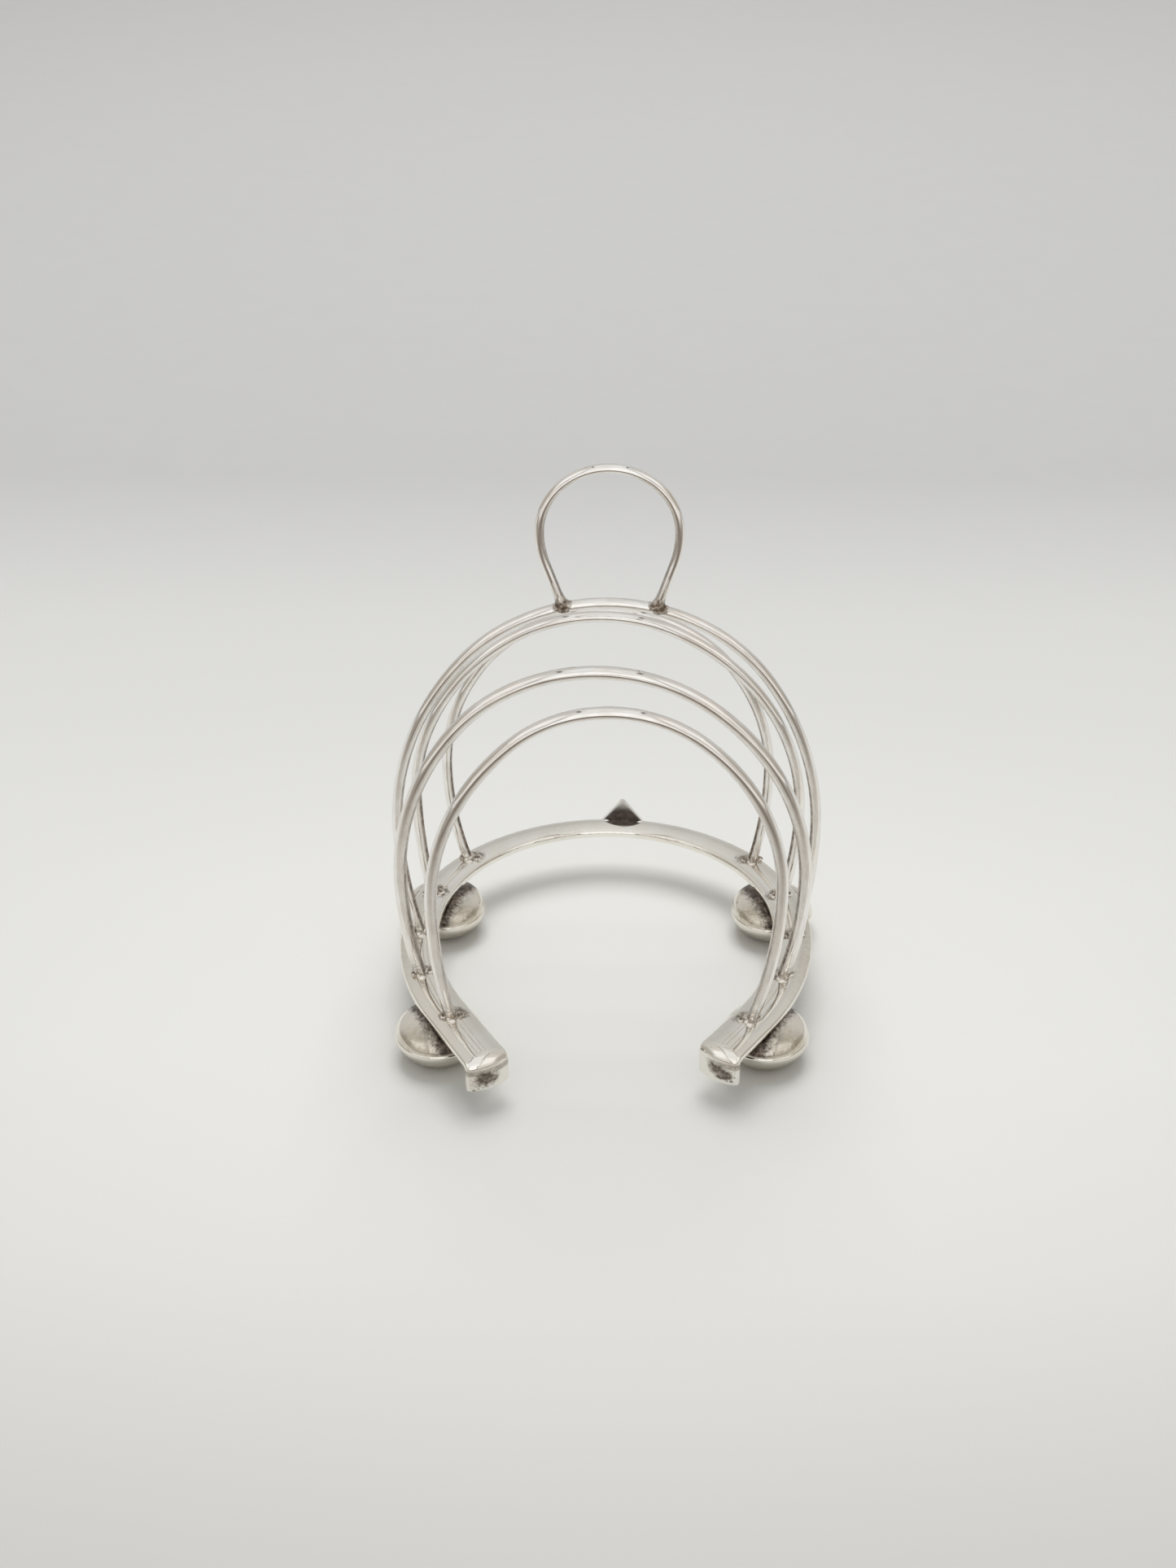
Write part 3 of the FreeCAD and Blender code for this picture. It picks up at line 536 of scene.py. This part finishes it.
def solder_joint(bm, spot):
    """Balls of one joint with its two curled rims; gives the middles of the rims in mm."""
    seed = 40.0 * spot.x / MM + spot.y / MM

    def vary(i, amount):
        return amount * noise.noise(Vector((seed + 7.3 * i, 1.7 * i, 0.5)))

    def at(x, y, z):
        return spot + Vector((x, y, z)) * MM

    for middle, radii in JOINT_BALLS:
        ball(bm, at(*middle), radii)
    rims = []
    for way, back, size in CURLS:
        size += vary(way + 3, 0.4)
        cx, cy = way * (1.95 + vary(way + 5, 0.5)), back + vary(way + 7, 1.0)
        rims.append((spot.x / MM + cx, spot.y / MM + cy, spot.z / MM))
        ball(bm, at(cx, cy, -0.35), (size, size, 0.5))
        for i in range(CURL_BALLS):
            angle = 2 * math.pi * i / CURL_BALLS
            swell = 0.36 + vary(i + 11 * way, 0.34)
            reach = size * (1 + vary(i + 5 * way, 0.4))
            ball(bm, at(cx + reach * math.cos(angle), cy + reach * math.sin(angle), 0.0),
                 (swell, swell, swell + 0.10))
    return rims


def solder_lumps(name, spots):
    """Melted solder at both feet of a hoop."""
    bm = bmesh.new()
    rims, beads = [], []
    for spot in spots:
        rims += solder_joint(bm, spot)
        beads.append(tuple(spot[axis] / MM + BEAD[axis] for axis in range(3)))
    piece = melt(name, bm, 0.12, len(name))
    piece.data.materials.append(silver(name + "_plate", ((solder_dirt(rims, beads), BROWN),),
                                       shade=SOLDER_PLATE, rough=0.09))
    return piece


def flared_joint(name, material):
    """Solder that climbs each foot of the ring and runs out along the hoop's crown."""
    bm = bmesh.new()
    low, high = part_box("handle_solder")
    for hand in HANDS:
        foot = (low.x / MM + HANDLE_INSET) if hand < 0 else (high.x / MM - HANDLE_INSET)
        crown = [cut_centre("centre_hoop", 0, foot + CROWN_STEP * i,
                            lambda p: p[:, 2] > HIGH_WIRE)
                 for i in range(-CROWN_STEPS, CROWN_STEPS + 1)]
        middle = crown[CROWN_STEPS]
        first, last = [cut_centre("carrying_handle", 2, middle.z + up,
                                  lambda p: p[:, 0] * hand > 0) for up in (3.0, 8.0)]
        rise = (last - first).normalized()
        for i in range(RISE_BALLS):
            swell = 1.22 + 0.62 * (1 - i / (RISE_BALLS - 1)) ** 2
            place = first + rise * (RISE_STEP * i + RISE_START)
            ball(bm, place * MM, (swell, swell * 0.93, swell))
        for i, near in enumerate(crown):
            share = 1 - abs(i - CROWN_STEPS) / 8.4
            ball(bm, (near + Vector((0, 0.0, 0.80 * share ** 2))) * MM,
                 (1.0, 1.34 + 0.22 * share, 1.33 + 0.22 * share))
        ball(bm, (middle + Vector((0.3, -1.2, -0.2))) * MM, (1.6, 0.5, 0.75))
    piece = melt(name, bm, 0.05, 3)
    piece.data.materials.append(material)
    return piece


# ------------------------------------------------------------------ stains and painted shade of each piece
def foot_tarnish_and_shade(foot):
    """Speckled black on the foot along the bar that crosses it: partly tarnish, partly painted
    shade and painted reflection of the bar's dark underside.
    """
    mean, across = bar_line(foot)

    def maker(skin):
        g = skin.g
        off = g.vector("SUBTRACT", skin.place, tuple(mean))
        aside = g.math("ABSOLUTE", g.vector("DOT_PRODUCT", off, tuple(across)))
        grain = g.noise(skin.place, SPECKLE, 3.0, 0.6)
        wobble = g.math("ADD", g.times(g.math("SUBTRACT", skin.fine, 0.5), 2.0 * MM),
                        g.times(g.math("SUBTRACT", grain, 0.5), 2.2 * MM))
        # painted shade and reflection under the bar, mixed with tarnish
        near = g.step(g.math("ADD", aside, wobble), 5.2 * MM, 7.5 * MM, 1.0, 0.0)
        high = g.step(skin.z, 7.0 * MM, 8.0 * MM)
        return g.times(near, high, 0.95)
    return maker


def foot_film_and_shade(foot):
    """Yellow film on the front of the foot above its belly, and painted shade all round toward
    its bottom, where the foot mirrors the floor's contact shadow.
    """
    low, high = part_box(foot)
    centre = (low + high) * 0.5
    belly = (6.9 * MM, 7.4 * MM)

    def maker(skin):
        g = skin.g
        ahead = g.step(skin.y, centre.y - 7.5 * MM, centre.y - 1.0 * MM, 0.70, 0.06)
        above = g.times(ahead, g.step(skin.z, *belly))
        # painted shade: the foot darkens toward its bottom
        below = g.step(skin.z, 1.0 * MM, 6.6 * MM, 1.0, 0.08)
        below = g.times(below, g.step(skin.z, *belly, 1.0, 0.0))
        return g.times(g.math("MAXIMUM", above, below), g.step(skin.cloud, 0.2, 0.6, 0.82, 1.0))
    return maker


def hoop_tarnish_and_shade(strength):
    """Brown on the inner and under side of a wire, thickest near the bar: partly tarnish, partly
    painted shade and painted dark reflection; spotty tarnish just above the bar.
    """
    def maker(skin):
        g = skin.g
        across, _, up = g.axes(skin.normal)
        # painted shade on the side facing down, and painted dark reflection mixed with tarnish on
        # the side facing inward
        turned = g.math("MAXIMUM", skin.inward(across), g.times(up, -0.6))
        turned = g.math("ADD", turned, g.times(g.math("SUBTRACT", skin.cloud, 0.5), 0.5))
        film = g.step(turned, 0.30, 0.78)
        low = g.step(skin.z, 18 * MM, 62 * MM, 0.95 * strength, 0.60 * strength)
        foot = g.times(g.step(skin.z, 15.5 * MM, 22 * MM, 1.0, 0.0),
                       g.step(skin.fine, 0.36, 0.55), 0.85)
        return g.math("MAXIMUM", g.times(film, low), foot)
    return maker


def hoop_dark_reflection(strength):
    """Narrow painted dark reflection along the inner side of a wire, broken up by the drawing
    lines.
    """
    def maker(skin):
        g = skin.g
        inward = skin.inward(g.axes(skin.normal)[0])
        # painted dark reflection: a thin band where the wire faces a set angle inward
        band = g.times(g.step(inward, 0.62, 0.74), g.step(inward, 0.86, 0.95, 1.0, 0.25))
        lines = g.noise(skin.place, LINE_GAPS, 3.0, 0.6, (0.35, 1.0, 0.35))
        broken = g.step(lines, 0.40, 0.56, 0.25, 1.0)
        fade = g.step(skin.z, 20 * MM, 90 * MM, 0.85 * strength, 0.45 * strength)
        return g.times(band, broken, fade)
    return maker


def joint_patches(skin):
    """Brown stain on the bar round each solder joint."""
    masks = []
    for i, (_, hand, spot) in enumerate(JOINTS):
        here = spot / MM
        drift = noise.noise_vector(Vector((3.1 * i, 0.7, 2.2)))
        masks.append(skin.patch(
            (here.x - 0.9 * hand + 1.4 * drift.x, here.y + 1.0 + 1.2 * drift.y, here.z),
            (3.9 + 1.2 * drift.z, 3.0 + drift.x, 3.0)))
    return skin.g.times(skin.join(*masks), 0.86)


def bar_film(skin):
    """Faint uneven yellowing of the bar, a little stronger toward its outer edge."""
    g = skin.g
    cloudy = g.step(g.noise(skin.place, BAR_CLOUDS, 4.0, 0.6), 0.36, 0.66, 0.0, 0.13)
    outer = g.step(g.math("ABSOLUTE", skin.x), 45 * MM, 55 * MM, 0.0, 0.26)
    return g.math("ADD", cloudy, outer)


# Patches on the two heel faces, mm from the face's centre: x, z, radii, softness; then the
# small spots as x, z, size.
HEEL_STAINS = (((0.6, 0.2, (4.3, 4.5, 2.8), 0.45),),
               ((-1.2, 0.8, (3.3, 4.5, 2.1), 0.55), (0.7, -0.4, (3.1, 4.5, 2.0), 0.55)))
HEEL_SPOTS = (((-2.6, -2.7, 0.7), (-1.5, -2.3, 0.35), (-0.4, -2.2, 0.3), (-2.0, -3.0, 0.4)),
              ((2.4, -1.9, 0.75), (-2.4, 2.0, 0.8), (3.2, -0.6, 0.35), (1.4, -2.0, 0.4)))
HEEL_FRONT = (-50 * MM, -48 * MM)


def heel_patches(skin):
    """Dark stains with small spots round them on the folded-down faces of the heels."""
    masks = []
    for face, stains, spots in zip(heel_faces(), HEEL_STAINS, HEEL_SPOTS):
        masks += [skin.patch((face.x + x, face.y, face.z + z), radii, 0.75, soft)
                  for x, z, radii, soft in stains]
        masks += [skin.patch((face.x + x, face.y, face.z + z), (size, 3.0, size * 0.75), 0.8)
                  for x, z, size in spots]
    front = skin.g.step(skin.y, *HEEL_FRONT, 1.0, 0.0)
    return skin.g.times(skin.join(*masks), front, 0.92)


def heel_band(skin):
    """Thin brown band just under the fold of each heel."""
    g = skin.g
    fold = heel_faces()[0].z
    band = g.times(g.step(skin.z, (fold + 1.2) * MM, (fold + 2.0) * MM),
                   g.step(skin.z, (fold + 2.9) * MM, (fold + 3.6) * MM, 1.0, 0.0))
    return g.times(band, g.step(skin.y, *HEEL_FRONT, 0.6, 0.0))


def clip_dark_reflection(skin):
    """Black painted dark reflection low on the front of the clip, paler toward its top and its
    two edges.
    """
    g = skin.g
    low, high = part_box("toe_clip")
    tall, wide = high.z - low.z, high.x - low.x
    # painted dark reflection on the faces turned toward the front
    ahead = g.step(g.axes(skin.normal)[1], -0.62, -0.30, 1.0, 0.0)
    below = g.step(skin.z, low.z + 0.50 * tall, low.z + 0.98 * tall, 1.0, 0.50)
    aside = g.math("ABSOLUTE", g.math("SUBTRACT", skin.x, 0.5 * (low.x + high.x)))
    reach = g.math("ADD", g.math("DIVIDE", aside, 0.5 * wide),
                   g.math("DIVIDE", g.math("SUBTRACT", skin.z, low.z), tall))
    rim = g.step(reach, 0.90, 1.0, 1.0, 0.70)
    return g.times(ahead, below, rim, 0.97)


def solder_dirt(rims, beads):
    """Dark oxide in the folds of the solder and inside its curled rims; the beads stay bright."""
    def maker(skin):
        g = skin.g
        fold = g.step(skin.crease, 0.465, 0.535, 1.0, 0.0)
        holes = skin.join(*[skin.patch(c, (1.0, 1.0, 1.6), 0.8, 0.4) for c in rims])
        loose = g.times(g.step(skin.cloud, 0.40, 0.58, 0.1, 0.85),
                        g.step(skin.fine, 0.36, 0.54))
        bright = skin.join(*[skin.patch(c, (1.5, 1.1, 1.3), 0.3, 0.6) for c in beads])
        kept = g.math("SUBTRACT", 1.0, bright)
        return g.times(skin.join(fold, holes, loose), kept, 0.92)
    return maker


def fillet_dirt(skin):
    """Dark brown right under each foot of the ring, thinning upward and sideways."""
    g = skin.g
    low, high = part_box("handle_solder")
    level = high.z / MM - 3.4
    ahead = 0.5 * (low.y + high.y) / MM - 1.0
    masks = [skin.patch((x, ahead, level), (3.7, 2.6, 3.1), 1.0, 0.25)
             for x in (low.x / MM + 3.1, high.x / MM - 2.7)]
    fold = g.times(g.step(skin.crease, 0.47, 0.52, 1.0, 0.0), 0.6)
    film = g.step(skin.cloud, 0.35, 0.65, 0.12, 0.4)
    return skin.join(skin.join(*masks), fold, film)


# ------------------------------------------------------------------ build
make_camera()
make_floor()
make_world()
make_front_shade()
make_back_light()

JOINTS = find_joints()
BAR_MARKS = ((bar_film, FILM_AND_SHADE), (joint_patches, BROWN), (heel_band, BROWN), (heel_patches, SMOKE))
# Strength per hoop of the brown tarnish with painted shade, and of the painted dark reflection
# line.
HOOP_GRIME_AND_SHADE = (1.0, 0.95, 0.95, 0.85, 0.45)

paint("horseshoe_base", silver("base_plate", BAR_MARKS, shade=BAR_PLATE))
for name, strength in zip(HOOPS, HOOP_GRIME_AND_SHADE):
    paint(name, silver(name + "_plate",
                       ((hoop_tarnish_and_shade(strength), UMBER), (hoop_dark_reflection(strength), SMOKE)),
                       drawn=ALONG_HOOP))
paint("carrying_handle", silver("ring_plate", ((hoop_tarnish_and_shade(0.8), UMBER), (hoop_dark_reflection(0.7), SMOKE)),
                                drawn=ALONG_HOOP))
paint("toe_clip", silver("clip_plate", ((clip_dark_reflection, INK),)))
paint("toe_clip_solder", silver("clip_solder"))
for name in FEET:
    paint(name, silver(name + "_plate", ((foot_film_and_shade(name), FILM_AND_SHADE), (foot_tarnish_and_shade(name), BLACK)),
                       shade=FOOT_PLATE, rough=0.125))

for name in HOOPS:
    piece = solder_lumps(name + "_joints", [spot for hoop, _, spot in JOINTS if hoop == name])
    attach(piece, "root")
    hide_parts(name + "_solder")

fillet = silver("fillet_plate", ((fillet_dirt, BROWN),), shade=FILLET_PLATE, rough=0.10)
piece = flared_joint("handle_joints", fillet)
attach(piece, "root")
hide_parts("handle_solder")

bpy.context.scene.view_settings.view_transform = "Standard"
